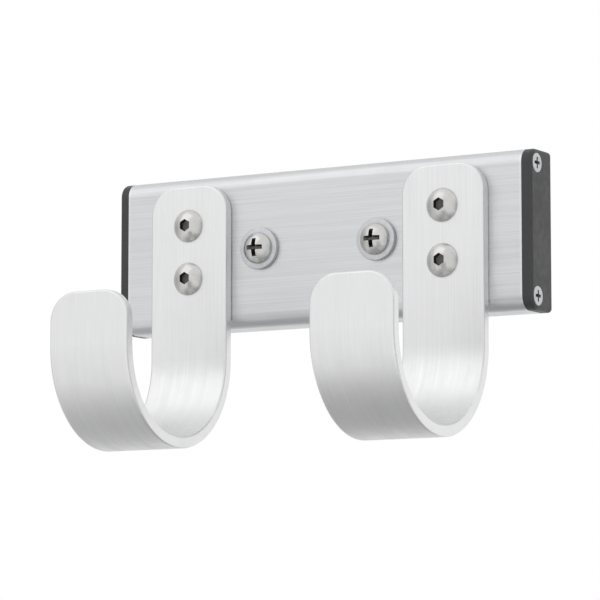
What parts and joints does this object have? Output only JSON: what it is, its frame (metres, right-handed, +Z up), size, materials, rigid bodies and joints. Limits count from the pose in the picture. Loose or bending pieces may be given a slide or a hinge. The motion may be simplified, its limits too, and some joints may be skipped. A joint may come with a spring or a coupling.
{
  "type": "wall mop holder rack",
  "caption": "Wall rack with wide J-shaped flat-bar hooks bolted to a short capped rail. It carries a long-handled cleaning tool by its head, handle down.",
  "frame": {"origin": "on the wall face, midway between the two wall screws", "axes": "+X along the wall to the right as seen from the room, +Y into the wall, +Z up"},
  "size_m": [0.134, 0.1028, 0.0804],
  "materials": {
    "hook_bar": "satin, fine grain along the bar",
    "rail_aluminium": "clear anodised, fine extrusion lines",
    "cap_plastic": "fine moulded texture",
    "stainless_steel": "bright turned",
    "zinc_steel": "dull zinc plating"
  },
  "bodies": {
    "root": {"rail": "rail_aluminium", "left_end_cap": "cap_plastic", "right_end_cap": "cap_plastic", "left_upper_cap_screw": "zinc_steel", "left_lower_cap_screw": "zinc_steel", "right_upper_cap_screw": "zinc_steel", "right_lower_cap_screw": "zinc_steel", "left_hook": "hook_bar", "right_hook": "hook_bar", "left_upper_bolt": "stainless_steel", "left_lower_bolt": "stainless_steel", "right_upper_bolt": "stainless_steel", "right_lower_bolt": "stainless_steel", "left_upper_washer": "zinc_steel", "left_lower_washer": "zinc_steel", "right_upper_washer": "zinc_steel", "right_lower_washer": "zinc_steel", "left_upper_nut": "zinc_steel", "left_lower_nut": "zinc_steel", "right_upper_nut": "zinc_steel", "right_lower_nut": "zinc_steel", "left_wall_screw": "stainless_steel", "right_wall_screw": "stainless_steel", "left_screw_washer": "zinc_steel", "right_screw_washer": "zinc_steel", "left_spacer_sleeve": "rail_aluminium", "right_spacer_sleeve": "rail_aluminium"}
  },
  "joints": []
}
